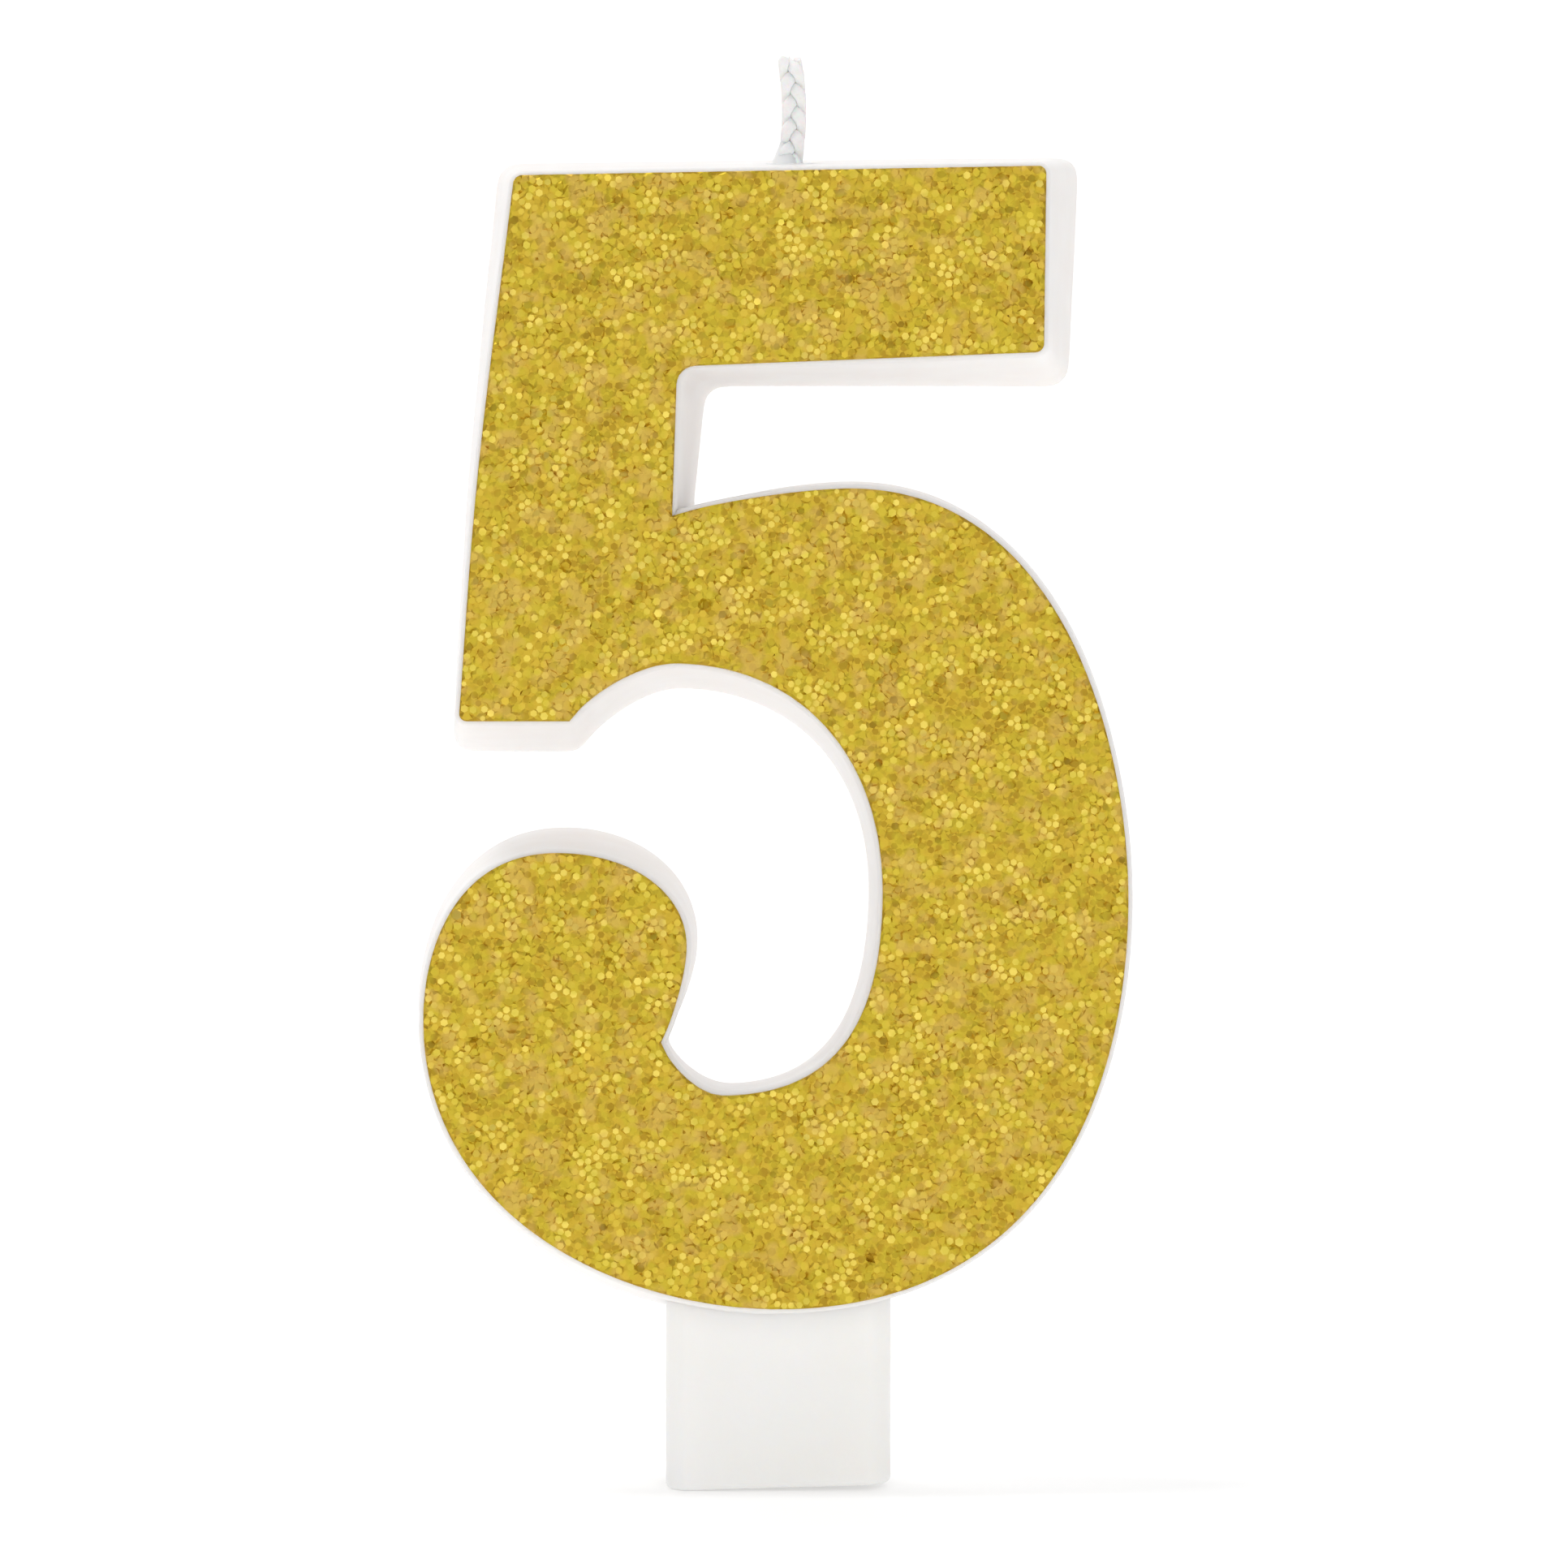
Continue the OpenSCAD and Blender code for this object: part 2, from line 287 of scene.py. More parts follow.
def softened(ring, rounds):
    """The ring with its sharp points worn down."""
    for _ in range(rounds):
        ring = (np.roll(ring, 1, 0) + 2 * ring + np.roll(ring, -1, 0)) / 4
    return ring


def outward(ring):
    """The unit normals of a counterclockwise ring, pointing out of it."""
    along = np.roll(ring, -1, 0) - np.roll(ring, 1, 0)
    normal = np.stack([along[:, 1], -along[:, 0]], 1)
    return normal / np.linalg.norm(normal, axis=1)[:, None]


def inside(points, ring):
    """Which points lie inside a closed ring."""
    hits = np.zeros(len(points), bool)
    x, z = points.T
    for (ax, az), (bx, bz) in zip(ring, np.roll(ring, -1, 0)):
        if az != bz:
            crosses = (az > z) != (bz > z)
            hits ^= crosses & (x < (bx - ax) * (z - az) / (bz - az) + ax)
    return hits


def tree_of(points):
    """A search tree over flat points."""
    tree = kdtree.KDTree(len(points))
    for i, (x, z) in enumerate(points):
        tree.insert((x, z, 0), i)
    tree.balance()
    return tree


def distance_to(tree, point):
    return tree.find((point[0], point[1], 0))[2]


def edge_of(ring):
    """A search tree over closely spaced points of a ring."""
    share = np.linspace(0, 1, 12, endpoint=False)[None, :, None]
    ahead = np.roll(ring, -1, 0)
    return tree_of((ring[:, None] * (1 - share) + ahead[:, None] * share).reshape(-1, 2))


face_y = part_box("wax_body")[0].y
back_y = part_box("wax_body")[1].y
glitter_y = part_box("glitter_coat")[0].y
binder_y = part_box("adhesive_coat")[0].y
widest = max(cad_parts["wax_body"].data.vertices, key=lambda v: v.co.x)
cad_face = ring_at("glitter_coat", glitter_y)
cad_back = matched(cad_face, ring_at("wax_body", widest.co.y))
face_ring, back_ring = finer([cad_face, cad_back], OUTLINE_STEP)
back_ring = softened(back_ring, BACK_SOFTENING)


# ------------------------------------------------------------------ mesh helpers

def piece_from(name, vertices, faces, material, smooth=True):
    mesh = bpy.data.meshes.new(name)
    mesh.from_pydata([tuple(v) for v in vertices], [], [tuple(f) for f in faces])
    if smooth:
        mesh.shade_smooth()
    mesh.materials.append(material)
    piece = bpy.data.objects.new(name, mesh)
    bpy.context.scene.collection.objects.link(piece)
    return piece


def add_to_candle(piece, slot, *nodes):
    """The piece stands for those CAD nodes, which it hides, and moves with the candle. The slot is not
    used.
    """
    if nodes:
        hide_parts(*nodes)
    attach(piece, ROOT)


def band(first, second, count):
    """The four-sided faces between two rings of count points that start at these indices."""
    return [
        (first + i, first + (i + 1) % count, second + (i + 1) % count, second + i)
        for i in range(count)
    ]


def triangles(ring, inner=(), loops=()):
    """Triangles that fill a closed ring and use the inner points, with loops of them as edges.

    Corners are numbered ring first, then inner points.
    """
    count = len(ring)
    points = [Vector(p) for p in ring] + [Vector(p) for p in inner]
    edges = [(i, (i + 1) % count) for i in range(count)] + list(loops)
    found = delaunay_2d_cdt(points, edges, [], 1, 1e-9)
    corner_of = [origin[0] for origin in found[3]]
    return [tuple(corner_of[v] for v in face) for face in found[2]]


def tube(rings):
    """Vertices and faces of a closed tube over rings of points, with a flat cap at each end."""
    count = len(rings[0])
    vertices = np.vstack(rings)
    faces = []
    for k in range(len(rings) - 1):
        faces += band(k * count, (k + 1) * count, count)
    last = (len(rings) - 1) * count
    faces.append(tuple(reversed(range(count))))
    faces.append(tuple(last + i for i in range(count)))
    return vertices, faces


def carve(piece, cutter):
    """Cuts the cutter's shape out of the piece."""
    cut = piece.modifiers.new("carve", "BOOLEAN")
    cut.object = cutter
    cut.solver = "EXACT"
    bpy.context.view_layer.objects.active = piece
    bpy.ops.object.modifier_apply(modifier=cut.name)


# ------------------------------------------------------------------ materials

class Nodes:
    """A node material under construction."""

    def __init__(self, name):
        self.material = bpy.data.materials.new(name)
        self.material.use_nodes = True
        self.tree = self.material.node_tree
        self.shader = self.tree.nodes["Principled BSDF"]
        self.place = self.tree.nodes.new("ShaderNodeTexCoord").outputs["Object"]

    def set(self, **sockets):
        for name, value in sockets.items():
            self.shader.inputs[name.replace("_", " ")].default_value = value

    def link(self, source, socket):
        self.tree.links.new(source, self.shader.inputs[socket])

    def noise(self, size, detail=3.0, roughness=0.5):
        """A noise whose features are about size metres across."""
        node = self.tree.nodes.new("ShaderNodeTexNoise")
        node.inputs["Scale"].default_value = 1 / size
        node.inputs["Detail"].default_value = detail
        node.inputs["Roughness"].default_value = roughness
        self.tree.links.new(self.place, node.inputs["Vector"])
        return node.outputs["Fac"]

    def cells(self, size, feature="F1"):
        node = self.tree.nodes.new("ShaderNodeTexVoronoi")
        node.feature = feature
        node.inputs["Scale"].default_value = 1 / size
        self.tree.links.new(self.place, node.inputs["Vector"])
        return node.outputs["Distance"]

    def attribute(self, name):
        node = self.tree.nodes.new("ShaderNodeAttribute")
        node.attribute_name = name
        return node.outputs["Fac"]

    def ramp(self, source, stops):
        """Colours along a value: stops are pairs of a place from 0 to 1 and a linear colour."""
        node = self.tree.nodes.new("ShaderNodeValToRGB")
        elements = node.color_ramp.elements
        while len(elements) < len(stops):
            elements.new(0.5)
        for element, (place, colour) in zip(elements, stops):
            element.position = place
            element.color = (*colour, 1)
        self.tree.links.new(source, node.inputs["Fac"])
        return node.outputs["Color"]

    def fit(self, source, low, high, new_low, new_high):
        """Maps low to high onto new_low to new_high."""
        node = self.tree.nodes.new("ShaderNodeMapRange")
        limits = {"From Min": low, "From Max": high, "To Min": new_low, "To Max": new_high}
        for name, value in limits.items():
            node.inputs[name].default_value = value
        self.tree.links.new(source, node.inputs["Value"])
        return node.outputs["Result"]

    def maths(self, operation, a, b):
        node = self.tree.nodes.new("ShaderNodeMath")
        node.operation = operation
        for socket, value in zip(node.inputs, (a, b)):
            if isinstance(value, (int, float)):
                socket.default_value = value
            else:
                self.tree.links.new(value, socket)
        return node.outputs["Value"]

    def mix(self, share, a, b):
        node = self.tree.nodes.new("ShaderNodeMix")
        node.data_type = "RGBA"
        self.tree.links.new(share, node.inputs["Factor"])
        for socket, colour in ((node.inputs[6], a), (node.inputs[7], b)):
            if isinstance(colour, tuple):
                socket.default_value = (*colour, 1)
            else:
                self.tree.links.new(colour, socket)
        return node.outputs[2]

    def bump(self, height, depth):
        """Relief of about depth metres from a height of 0 to 1."""
        node = self.tree.nodes.new("ShaderNodeBump")
        node.inputs["Distance"].default_value = depth
        self.tree.links.new(height, node.inputs["Height"])
        self.link(node.outputs["Normal"], "Normal")


def wax(name, tint, warm, subsurface):
    """Moulded candle wax: two whites in soft clouds, a satin skin with fine grain and a few pits."""
    n = Nodes(name)
    clouds = n.fit(n.noise(9 * MM), 0.35, 0.65, 0, 1)
    n.link(n.mix(clouds, tint, warm), "Base Color")
    n.link(n.fit(n.noise(2.5 * MM), 0.3, 0.7, 0.34, 0.5), "Roughness")
    grain = n.noise(0.35 * MM, detail=4, roughness=0.6)
    pits = n.fit(n.cells(2.4 * MM), 0, 0.09, -1.6, 0)
    n.bump(n.maths("ADD", grain, pits), 0.02 * MM)
    n.set(Subsurface_Weight=subsurface, Subsurface_Scale=1.6 * MM, IOR=1.44)
    n.shader.inputs["Subsurface Radius"].default_value = (1.0, 0.86, 0.72)
    return n.material


def cotton(name, tint, shade):
    """Bleached cotton that is primed with wax: fibre streaks along the strand under a thin skin."""
    n = Nodes(name)
    streaks = n.noise(0.16 * MM, detail=5, roughness=0.65)
    n.link(n.mix(n.fit(streaks, 0.35, 0.7, 0, 1), shade, tint), "Base Color")
    n.link(n.fit(n.noise(0.5 * MM), 0.3, 0.7, 0.42, 0.7), "Roughness")
    n.bump(streaks, 0.03 * MM)
    n.set(Subsurface_Weight=0.35, Subsurface_Scale=0.5 * MM, Sheen_Weight=0.15)
    return n.material


def glitter():
    """Gold flakes: each flake has its own tone, partly painted reflection, and gloss, in patches that
    lean green or tan.
    """
    n = Nodes("gold_glitter")
    tone = n.ramp(n.attribute("tone"), GOLD_TONES)
    green_patches = n.fit(n.noise(0.9 * MM, detail=1), 0.42, 0.62, 0, 0.5)
    greened = n.mix(green_patches, tone, GOLD_GREEN)
    tan_patches = n.fit(n.noise(1.3 * MM, detail=1), 0.52, 0.66, 0, 0.6)
    tanned = n.mix(tan_patches, greened, GOLD_TAN)
    n.link(tanned, "Base Color")
    n.link(n.attribute("gloss"), "Roughness")
    n.set(Metallic=1.0)
    return n.material


def binder():
    """The clear film that holds the flakes, with a faint amber cast."""
    n = Nodes("clear_binder")
    cast = n.fit(n.noise(1.5 * MM), 0.35, 0.65, 0, 1)
    n.link(n.mix(cast, BINDER_AMBER, BINDER_PALE), "Base Color")
    n.bump(n.noise(0.5 * MM), 0.02 * MM)
    n.set(Roughness=0.22, IOR=1.49)
    return n.material


def stage_white():
    n = Nodes("stage_white")
    n.set(Base_Color=(0.9, 0.9, 0.9, 1), Roughness=0.9)
    n.set(Emission_Color=(1, 1, 1, 1), Emission_Strength=FLOOR_GLOW)
    return n.material


# ------------------------------------------------------------------ wax body

def wavy(points, normals, fade):
    """The points moved along their normals by slow waves, as a cast surface has."""
    heights = [noise.noise(Vector(p) / WAVE_LENGTH) for p in points]
    return points + normals * (WAVE_HEIGHT * fade * np.array(heights))[:, None]


def at_depth(ring, y):
    return np.column_stack([ring[:, 0], np.full(len(ring), y), ring[:, 1]])


def wax_levels():
    """How each ring of the wall lies: its share of the way to the back, its growth and its depth."""
    angles = np.linspace(0, math.pi / 2, EDGE_STEPS)
    levels = [(0, FACE_EDGE_R * math.sin(a), face_y + FACE_EDGE_R * (1 - math.cos(a))) for a in angles]
    start, end = face_y + FACE_EDGE_R, back_y - BACK_EDGE_R
    steps = round((end - start) / WALL_STEP)
    for k in range(1, steps):
        share = k / steps
        levels.append((share, FACE_EDGE_R * (1 - share), start + share * (end - start)))
    levels += [(1, BACK_EDGE_R * (math.cos(a) - 1), end + BACK_EDGE_R * math.sin(a)) for a in angles]
    return levels


def back_surface(ring):
    """Inner points of the poured back, which sinks away from its rim and is faintly rippled."""
    edge = edge_of(ring)
    low, high = ring.min(0), ring.max(0)
    grid = np.array([
        (x + (row % 2) * BACK_GRID / 2, z)
        for row, z in enumerate(np.arange(low[1], high[1], BACK_GRID * math.sqrt(0.75)))
        for x in np.arange(low[0], high[0], BACK_GRID)
    ])
    grid = grid[inside(grid, ring)]
    gaps = np.array([distance_to(edge, p) for p in grid])
    grid, gaps = grid[gaps > BACK_GRID / 2], gaps[gaps > BACK_GRID / 2]
    rise = np.minimum(gaps / MENISCUS_WIDTH, 1)
    sink = MENISCUS_SINK * rise * rise * (3 - 2 * rise)
    bumps = np.array([noise.noise(Vector((x, z, 0)) / POUR_RIPPLE_LENGTH) for x, z in grid])
    ripple = POUR_RIPPLE * bumps * rise
    return grid, back_y - sink + ripple


def make_wax_body(stem):
    rings = []
    for share, grow, y in wax_levels():
        ring = face_ring * (1 - share) + back_ring * share
        normal = outward(ring)
        fade = min(1, (y - face_y) / WAVE_START)
        points = at_depth(ring + normal * grow, y)
        rings.append(wavy(points, at_depth(normal, 0), fade))
    count = len(face_ring)
    vertices = list(np.vstack(rings))
    faces = []
    for k in range(len(rings) - 1):
        faces += band(k * count, (k + 1) * count, count)
    faces += triangles(rings[0][:, [0, 2]])
    last = (len(rings) - 1) * count
    rim = rings[-1][:, [0, 2]]
    inner, depths = back_surface(rim)
    place = [last + i for i in range(count)] + [len(vertices) + i for i in range(len(inner))]
    vertices += [(x, y, z) for (x, z), y in zip(inner, depths)]
    faces += [tuple(place[v] for v in f) for f in triangles(rim, inner)]
    body = piece_from("wax_numeral", vertices, faces, wax("white_wax", WAX_WHITE, WAX_CREAM, 0.55))
    face_outwards(body)
    carve(body, stem)
    bore = make_bore()
    carve(body, bore)
    bpy.data.objects.remove(bore)
    body.data.set_sharp_from_angle(angle=WAX_SHARP_EDGE)
    add_to_candle(body, "white_wax", "wax_body")


def face_outwards(piece):
    """Turns every face of a closed mesh outwards, on this mesh alone."""
    mesh = bmesh.new()
    mesh.from_mesh(piece.data)
    bmesh.ops.recalc_face_normals(mesh, faces=mesh.faces)
    mesh.to_mesh(piece.data)
    mesh.free()


def make_bore():
    """The drilled hole for the wick, as a cutter."""
    low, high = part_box("wick_seal")
    centre, radius = (low + high) / 2, (high.x - low.x) / 2
    turn = np.linspace(0, 2 * math.pi, BORE_SIDES, endpoint=False)
    circle = np.stack([centre.x + radius * np.cos(turn), centre.y + radius * np.sin(turn)], 1)
    rings = [np.column_stack([circle, np.full(len(turn), z)]) for z in (low.z, high.z + 2 * MM)]
    vertices, faces = tube(rings)
    return piece_from("bore_cutter", vertices, faces, bpy.data.materials.new("cutter"))


# ------------------------------------------------------------------ stem

def rounded(corners, radii, step):
    """A closed line through round corners, with points at most about step apart."""
    corners = np.array(corners)
    points = []
    for k, (here, radius) in enumerate(zip(corners, radii)):
        start, end = (
            here + radius * (other - here) / np.linalg.norm(other - here)
            for other in (corners[k - 1], corners[(k + 1) % len(corners)])
        )
        if points:
            points += between(points[-1], start, step)
        for t in np.linspace(0, 1, EDGE_STEPS):
            points.append((1 - t) ** 2 * start + 2 * t * (1 - t) * here + t * t * end)
    return np.array(points + between(points[-1], points[0], step))


def between(start, end, step):
    count = round(np.linalg.norm(end - start) / step)
    return [start + (end - start) * k / count for k in range(1, count)]


def make_stem():
    """A blunt wax peg with soft edges and an uneven lower end, with its tongue above."""
    low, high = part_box("stem")
    wax_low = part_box("wax_body")[0].z
    corners = [v.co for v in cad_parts["stem"].data.vertices]
    front = [c for c in corners if abs(c.y - low.y) < LEVEL_TOLERANCE]
    front_half, shoulder = max(c.x for c in front), max(c.z for c in front)
    bevel_y = min(c.y for c in corners if c.x > high.x - LEVEL_TOLERANCE)
    tongue = [c for c in corners if high.z - c.z < LEVEL_TOLERANCE]
    tongue_low, tongue_high = np.min(tongue, 0)[:2], np.max(tongue, 0)[:2]
    half = [(front_half, low.y), (high.x, bevel_y), (high.x, high.y)]
    section = rounded(
        half + [(-x, y) for x, y in reversed(half)],
        [BEVEL_EDGE_R, BEVEL_EDGE_R, STEM_EDGE_R, STEM_EDGE_R, BEVEL_EDGE_R, BEVEL_EDGE_R],
        STEM_STEP,
    )
    normal = outward(section)
    floor = low.z + STEM_END_SLOPE * (section[:, 0] / high.x + 1) / 2
    rings = []
    for a in np.linspace(0, math.pi / 2, EDGE_STEPS):
        inset = section - normal * STEM_EDGE_R * (1 - math.sin(a))
        rings.append(np.column_stack([inset, floor + STEM_EDGE_R * (1 - math.cos(a))]))
    steps = round((shoulder - low.z - STEM_EDGE_R) / STEM_STEP)
    start = rings[-1][:, 2]
    for t in np.arange(1, steps + 1) / steps:
        z = start + (shoulder - start) * t
        points = np.column_stack([section, z])
        normals = np.column_stack([normal, np.zeros(len(section))])
        rings.append(wavy(points, normals, 0.8 if z.mean() < wax_low else 0))
    share = (section - section.min(0)) / (section.max(0) - section.min(0))
    tongue_section = tongue_low + share * (tongue_high - tongue_low)
    rings += [np.column_stack([tongue_section, np.full(len(section), z)]) for z in (shoulder, high.z)]
    vertices, faces = tube(rings)
    stem = piece_from("stem_peg", vertices, faces, wax("stem_wax", STEM_WHITE, STEM_CREAM, 0.45))
    face_outwards(stem)
    stem.data.set_sharp_from_angle(angle=STEM_SHARP_EDGE)
    add_to_candle(stem, "stem_wax", "stem")
    return stem


# ------------------------------------------------------------------ glitter

def scatter(ring, spacing, margin, tries):
    """Random points inside a ring, no two closer than spacing, that keep off its edge."""
    low, high = ring.min(0), ring.max(0)
    area = np.prod(high - low)
    darts = rng.uniform(low, high, (int(tries * area / spacing**2), 2))
    darts = darts[inside(darts, ring)]
    edge = edge_of(ring)
    cell = spacing / math.sqrt(2)
    taken = {}
    kept = []
    for dart in darts:
        key = (int((dart[0] - low[0]) / cell), int((dart[1] - low[1]) / cell))
        near = (taken.get((key[0] + i, key[1] + j)) for i in range(-2, 3) for j in range(-2, 3))
        if any(p is not None and math.dist(p, dart) < spacing for p in near):
            continue
        if distance_to(edge, dart) < margin:
            continue
        taken[key] = dart
        kept.append(dart)
    return np.array(kept)


def make_glitter():
    """One closed skin: tilted hexagonal flakes, and between them the creases where they meet."""
    centres = scatter(face_ring, FLAKE_SPACING, 0.4 * FLAKE_SPACING, DART_TRIES)
    flakes = tree_of(centres)
    nearest = np.array([flakes.find_n((x, z, 0), 2)[1][2] for x, z in centres])
    edge = edge_of(face_ring)
    room = np.array([distance_to(edge, p) for p in centres]) * 0.92
    radius = np.minimum(FLAKE_FILL * nearest, room)
    creases = [
        spot
        for spot in scatter(face_ring, CREASE_SPACING, 0.4 * CREASE_SPACING, 2)
        if all(gap > radius[f] + CREASE_MARGIN for _, f, gap in flakes.find_n((*spot, 0), 4))
    ]
    count = len(centres)
    turn = rng.uniform(0, math.pi / 3, count)[:, None] + np.arange(FLAKE_SIDES) * math.pi / 3
    offset = radius[:, None, None] * np.stack([np.cos(turn), np.sin(turn)], 2)
    corners = centres[:, None] + offset
    slope = np.tan(np.minimum(np.abs(rng.normal(0, FLAKE_TILT, count)), FLAKE_TILT_MOST))
    slope[rng.random(count) < STEEP_FLAKES] *= 2
    lean = rng.uniform(0, 2 * math.pi, count)
    tilt = slope[:, None] * np.stack([np.cos(lean), np.sin(lean)], 1)
    middle = rng.uniform(FLAKE_LOW, FLAKE_HIGH, count)
    height = middle[:, None] + np.sum(offset * tilt[:, None], 2)
    rim = rng.uniform(0.3, 1.0, len(face_ring)) * FLAKE_LOW
    crease_height = rng.uniform(CREASE_LOW, CREASE_HIGH, len(creases))
    heights = np.concatenate([rim, height.ravel(), crease_height])
    flat = np.vstack([face_ring, corners.reshape(-1, 2), creases])
    loops = [
        (start + side, start + (side + 1) % FLAKE_SIDES)
        for start in range(len(face_ring), len(face_ring) + FLAKE_SIDES * count, FLAKE_SIDES)
        for side in range(FLAKE_SIDES)
    ]
    top = triangles(face_ring, flat[len(face_ring):], loops)
    vertices = [(x, binder_y - max(h, 0), z) for (x, z), h in zip(flat, heights)]
    base = len(vertices)
    vertices += [(x, binder_y, z) for x, z in face_ring]
    skirt = band(base, 0, len(face_ring))
    back = [tuple(base + v for v in reversed(f)) for f in triangles(face_ring)]
    coat = piece_from("glitter_flakes", vertices, top + skirt + back, glitter(), smooth=False)
    face_outwards(coat)
    paint_flakes(coat, centres)
    add_to_candle(coat, "gold_glitter", "glitter_coat")


def paint_flakes(coat, centres):
    """Gives every flake one tone, partly its tint and partly painted reflection, and one gloss, and
    the creases a darker tone as painted shade.

    Tones run in patches of painted reflection, because flakes that settle together lie much the same
    way and catch the light alike.
    """
    first, count = len(face_ring), len(centres)
    end = first + FLAKE_SIDES * count
    places = [Vector((x, z, 0)) / TONE_PATCH for x, z in centres]
    patch = np.array([noise.noise(p) + noise.noise(p / 2) + 0.5 * noise.noise(p / 4) for p in places])
    # Flake tones: partly tint, partly painted reflection of how each patch of flakes catches the light
    tones = np.clip(TONE_MIDDLE + TONE_SPREAD * patch + rng.normal(0, 0.03, count), 0.0, TONE_MOST)
    # A few flakes get the brightest tone as painted glints
    tones[rng.random(count) < GLINT_FLAKES] = 1.0
    gloss = rng.uniform(GLOSS_LOW, GLOSS_HIGH, count)
    tone, rough = [], []
    for face in coat.data.polygons:
        owners = {(v - first) // FLAKE_SIDES if first <= v < end else None for v in face.vertices}
        owner = owners.pop() if len(owners) == 1 else None
        # Creases get a darker tone as painted shade between the flakes; the coat's edge gets the
        # darkest tone, a dark line along the gold
        gap_and_edge_tone = RIM_TONE if min(face.vertices) < first else CREASE_SHADE_TONE
        tone.append(gap_and_edge_tone if owner is None else tones[owner])
        rough.append(CREASE_GLOSS if owner is None else gloss[owner])
    for name, values in (("tone", tone), ("gloss", rough)):
        layer = coat.data.attributes.new(name, "FLOAT", "FACE")
        layer.data.foreach_set("value", np.array(values, np.float32))


def finish_binder():
    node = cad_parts["adhesive_coat"]
    node.data.materials.clear()
    node.data.materials.append(binder())


# ------------------------------------------------------------------ wick

seal_low, seal_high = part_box("wick_seal")
wick_x, wick_y = (seal_low.x + seal_high.x) / 2, (seal_low.y + seal_high.y) / 2
wick_top = max(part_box(f"wick_strand_{k}")[1].z for k in (1, 2, 3))
wick_bottom = min(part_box(f"wick_strand_{k}")[0].z for k in (1, 2, 3))
bar_top = wick_top - WICK_LENGTH


def plait_middle(z):
    """The wick is upright in the wax and bows to the right above it."""
    return wick_x + WICK_BOW * math.sin(math.pi * max(0, z - bar_top) / (wick_top - bar_top))


def strand_middle(z, phase):
    a = 2 * math.pi * z / PLAIT_PITCH + phase
    return np.array([
        plait_middle(z) + PLAIT_SWING * math.sin(a),
        wick_y + PLAIT_WEAVE * math.sin(2 * a),
        z,
    ])


def room_for(middle, ray, phase):
    """How far a strand can swell along each ray before it meets another strand or leaves the plait."""
    heights = middle[2] + np.linspace(-0.8, 0.8, 33) * MM
    others = np.array([
        strand_middle(z, phase + turn) - middle for turn in STRAND_TURNS[1:] for z in heights
    ])
    towards = ray @ others.T
    half_way = np.sum(others**2, 1) / np.maximum(2 * towards, 1e-9)
    sideways = middle[0] - plait_middle(middle[2])
    outer = (WICK_HALF_WIDTH - sideways * np.sign(ray[:, 0])) / np.maximum(np.abs(ray[:, 0]), 1e-9)
    return np.minimum(half_way.min(1) - STRAND_GAP, outer)


def make_strand(index, phase):
    """One cotton strand, whose twisted yarns show as lobes that wind round it."""
    rings = []
    start, end = wick_bottom + STRAND_R, wick_top - STRAND_R / 2
    steps = round((end - start) / STRAND_STEP)
    turn = np.linspace(0, 2 * math.pi, STRAND_SIDES, endpoint=False)
    for z in np.linspace(start, end, steps):
        middle = strand_middle(z, phase)
        ahead = strand_middle(z + 0.01 * MM, phase) - strand_middle(z - 0.01 * MM, phase)
        ahead /= np.linalg.norm(ahead)
        side = np.cross(ahead, (0, 1, 0))
        side /= np.linalg.norm(side)
        front = np.cross(side, ahead)
        ray = np.cos(turn)[:, None] * side - np.sin(turn)[:, None] * front
        lobes = np.abs(np.cos(YARN_LOBES / 2 * (turn + 2 * math.pi * z / YARN_PITCH)))
        taper = min(1, 0.7 + 0.3 * (end - z) / (3 * STRAND_STEP))
        flat_part, deep_part = np.abs(np.cos(turn) / STRAND_FLATNESS), np.abs(np.sin(turn))
        r = STRAND_R / (flat_part ** 3 + deep_part ** 3) ** (1 / 3)
        unevenness = 0.04 * noise.noise(Vector((z / MM * 2, phase, 0)))
        r *= 1 - YARN_DEPTH + YARN_DEPTH * lobes ** 0.7 + unevenness
        r = np.minimum(r, room_for(middle, ray, phase)) * taper
        rings.append(middle + r[:, None] * ray)
    vertices, faces = tube(rings)
    material = cotton(f"cotton_{index}", COTTON, COTTON_SHADE)
    strand = piece_from(f"wick_yarns_{index}", vertices, faces, material)
    face_outwards(strand)
    strand.data.set_sharp_from_angle(angle=STRAND_SHARP_EDGE)
    add_to_candle(strand, "cotton", f"wick_strand_{index}")


def make_fibres():
    """Loose cotton fibres that stand off the wick, most of them at its cut end."""
    vertices, faces = [], []
    for _ in range(FIBRE_COUNT):
        at_end = rng.random() < 0.6
        z = wick_top - (rng.uniform(0.1, 0.5) if at_end else rng.uniform(0.5, 6.5)) * MM
        phase = rng.choice(STRAND_TURNS)
        root = strand_middle(z, phase)
        turn = rng.uniform(0, 2 * math.pi)
        out = np.array([math.cos(turn), math.sin(turn), 0])
        root = root + out * STRAND_R * 0.8
        length = rng.uniform(0.25, 0.7) * MM
        climb = rng.uniform(0.6, 1.0) if at_end else rng.uniform(0.2, 0.9)
        curl = rng.normal(0, 0.25, 3)
        rings = []
        for t in np.linspace(0, 1, 7):
            drift = out * (0.45 * t) + np.array([0, 0, climb]) * t + curl * t * t
            middle = root + drift * length
            r = FIBRE_R * (1 - 0.7 * t)
            rings.append([middle + r * np.array([math.cos(a), math.sin(a), 0]) for a in (0, 2.1, 4.2)])
        points, sides = tube(rings)
        faces += [tuple(len(vertices) + v for v in f) for f in sides]
        vertices += list(points)
    fibres = piece_from("wick_fibres", vertices, faces, cotton("cotton_fibre", COTTON, COTTON_SHADE))
    add_to_candle(fibres, "cotton")


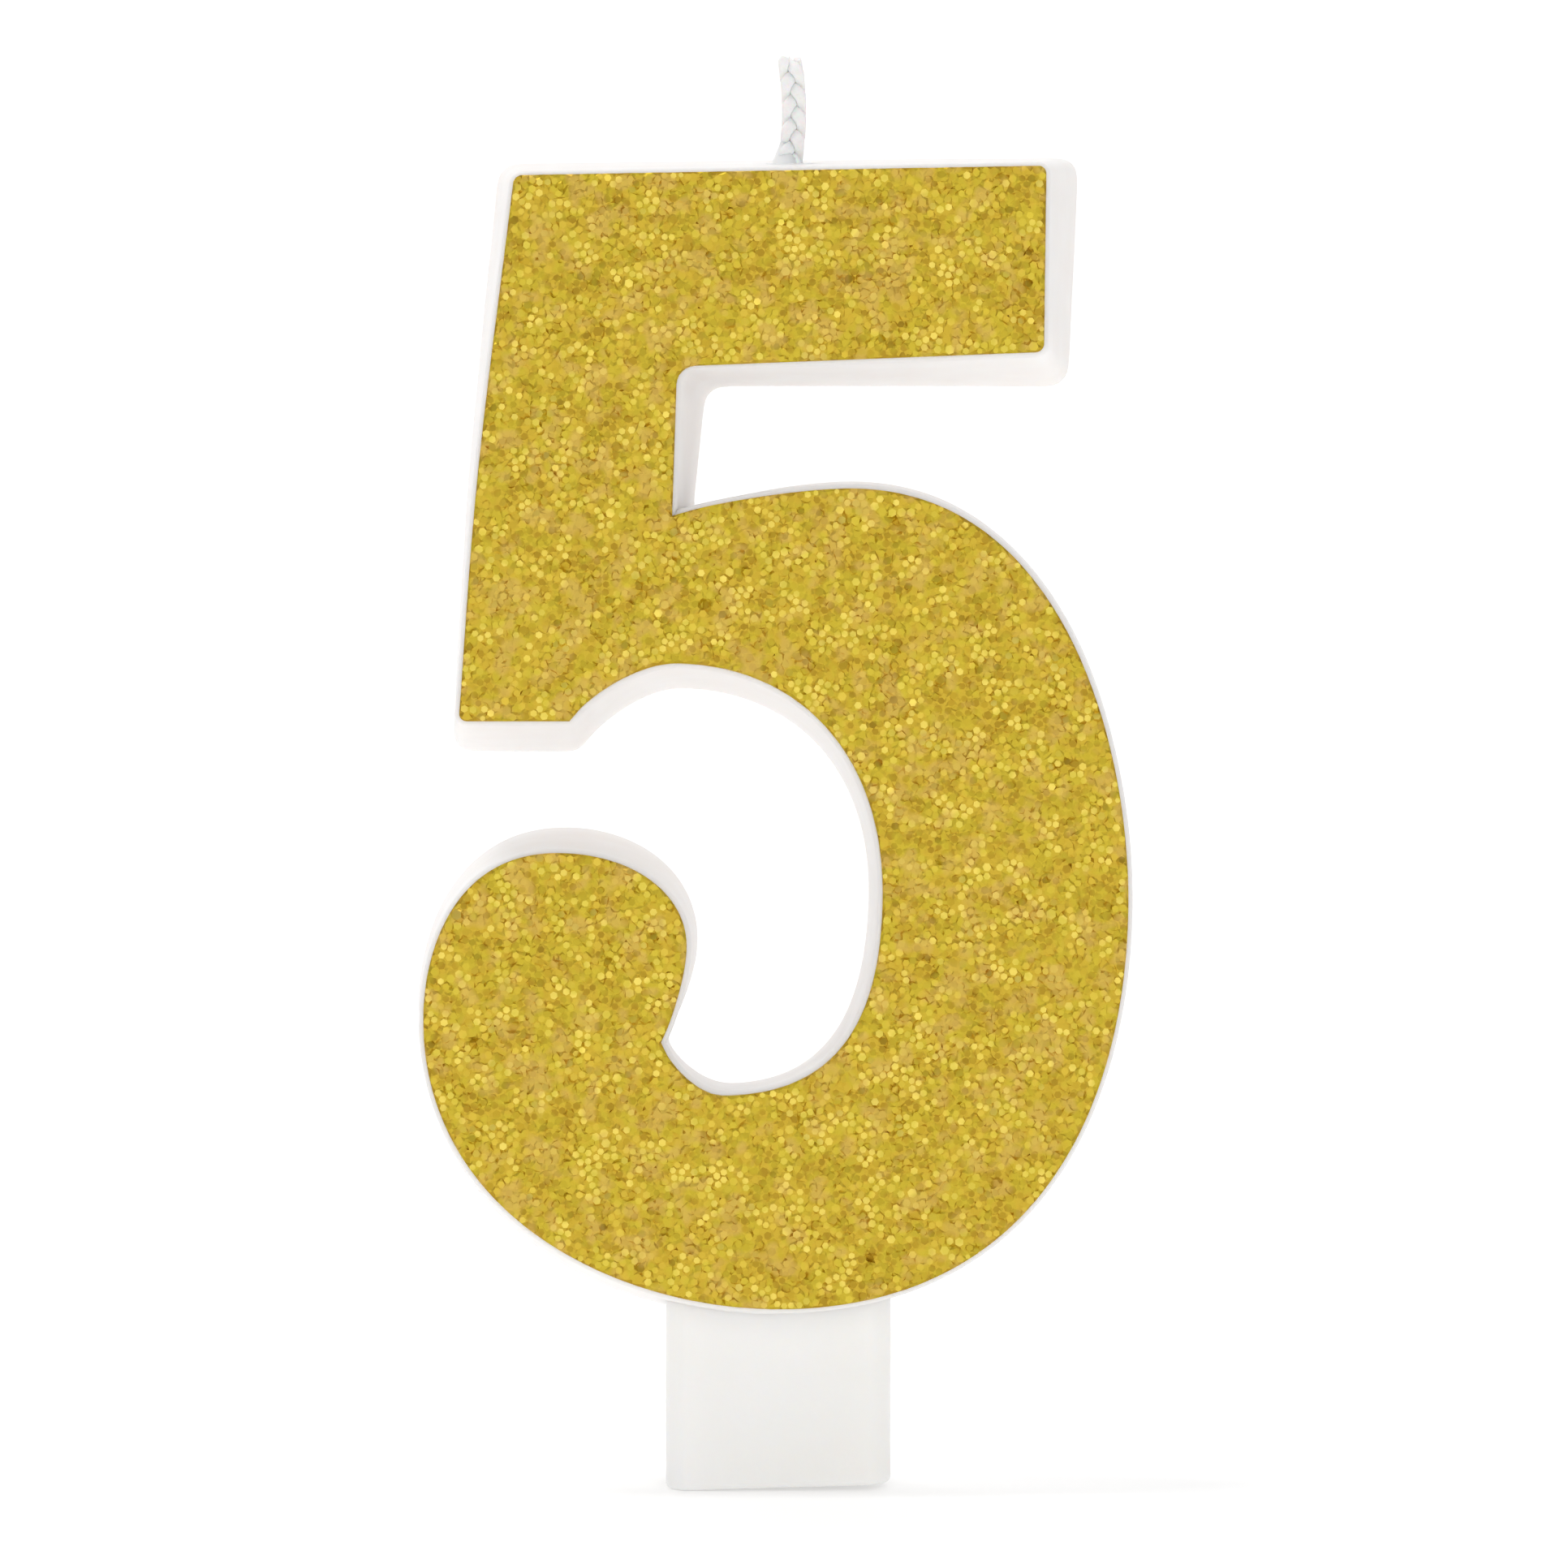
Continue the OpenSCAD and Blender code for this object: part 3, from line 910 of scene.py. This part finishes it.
def bar_height(y):
    """Height of the top bar at the wick, which rises from the face to the back."""
    face, back = (
        ring[np.abs(ring[:, 0] - wick_x) < BAR_SAMPLE][:, 1].max() for ring in (face_ring, back_ring)
    )
    start, end = face_y + FACE_EDGE_R, back_y - BACK_EDGE_R
    share = (y - start) / (end - start)
    return (face + FACE_EDGE_R) * (1 - share) + back * share


def make_seal():
    """Wax that filled the hole round the wick and crept up it, further on its left."""
    radius = (seal_high.x - seal_low.x) / 2
    turn = np.linspace(0, 2 * math.pi, SEAL_SIDES, endpoint=False)
    left = ((1 - np.cos(turn)) / 2) ** 1.5
    neck = 1 / np.hypot(np.cos(turn) / WICK_HALF_WIDTH, np.sin(turn) / WICK_HALF_DEPTH)
    foot = neck + SEAL_SKIRT + SEAL_FLARE * left
    climb = SEAL_CLIMB_LEAST + (SEAL_CLIMB - SEAL_CLIMB_LEAST) * left
    rings = []

    def surface(r):
        return bar_height(wick_y + r * np.sin(turn))

    def ring(r, z):
        z = np.broadcast_to(z, len(turn))
        middle = np.array([plait_middle(height) for height in z])
        rings.append(np.column_stack([middle + r * np.cos(turn), wick_y + r * np.sin(turn), z]))

    ring(SEAL_CORE_R, seal_low.z)
    for t in np.linspace(0, 1, 9):
        ring(radius, seal_low.z + (surface(radius) - SEAL_SINK - seal_low.z) * t)
    for t in np.linspace(0, 1, 6)[1:]:
        r = radius + (foot - radius) * t
        ring(r, surface(r) - SEAL_SINK * (1 - t) ** 2)
    for t in np.linspace(0, 1, 10)[1:]:
        ring(neck + (foot - neck) * (1 - t) ** 1.3, surface(foot) + climb * t)
    ring(SEAL_CORE_R, rings[-1][:, 2] + 0.02 * MM)
    count = len(turn)
    faces = []
    for k in range(len(rings)):
        faces += band(k * count, (k + 1) % len(rings) * count, count)
    material = wax("seal_wax", STEM_WHITE, STEM_CREAM, 0.5)
    seal = piece_from("wick_collar", np.vstack(rings), faces, material)
    face_outwards(seal)
    seal.data.set_sharp_from_angle(angle=WAX_SHARP_EDGE)
    add_to_candle(seal, "seal_wax", "wick_seal")


# ------------------------------------------------------------------ stage

def make_stage():
    """A pale floor that curves up into a backdrop behind the candle."""
    depth_front, depth_back, rise, bend_r, half = -1.4, 0.5, 1.6, 0.35, 2.0
    profile = [(depth_front, 0.0), (depth_back - bend_r, 0.0)]
    for a in np.linspace(0, math.pi / 2, 16)[1:]:
        profile.append((depth_back - bend_r + bend_r * math.sin(a), bend_r * (1 - math.cos(a))))
    profile.append((depth_back, rise))
    vertices = [(x, y, z) for x in (-half, half) for y, z in profile]
    n = len(profile)
    faces = [(k, k + n, k + n + 1, k + 1) for k in range(n - 1)]
    floor = piece_from("floor", vertices, faces, stage_white())


def softbox(name, place, aim, size, power):
    data = bpy.data.lights.new(name, "AREA")
    data.shape = "DISK"
    data.size = size
    data.energy = power
    light = bpy.data.objects.new(name, data)
    light.location = place
    light.rotation_euler = (Vector(aim) - Vector(place)).to_track_quat("-Z", "Y").to_euler()
    bpy.context.scene.collection.objects.link(light)


def make_lights():
    low, high = cad_box
    middle = (low + high) / 2
    softbox("key", (0.2, -0.7, 0.5), middle, 0.35, 0.5)
    softbox("front", (0.0, -1.3, 0.25), middle, 1.2, 1.9)
    softbox("top", (-0.25, 0.0, 0.88), middle, 0.4, 2.4)
    world = bpy.data.worlds.new("studio")
    world.use_nodes = True
    background = world.node_tree.nodes["Background"]
    background.inputs["Color"].default_value = (1, 1, 1, 1)
    background.inputs["Strength"].default_value = SKY_GLOW
    bpy.context.scene.world = world
    bpy.context.scene.view_settings.view_transform = "Standard"


# ------------------------------------------------------------------ the candle

stem_piece = make_stem()
make_wax_body(stem_piece)
make_glitter()
finish_binder()
for index, phase in enumerate(STRAND_TURNS, 1):
    make_strand(index, phase)
make_fibres()
make_seal()
make_stage()
make_lights()
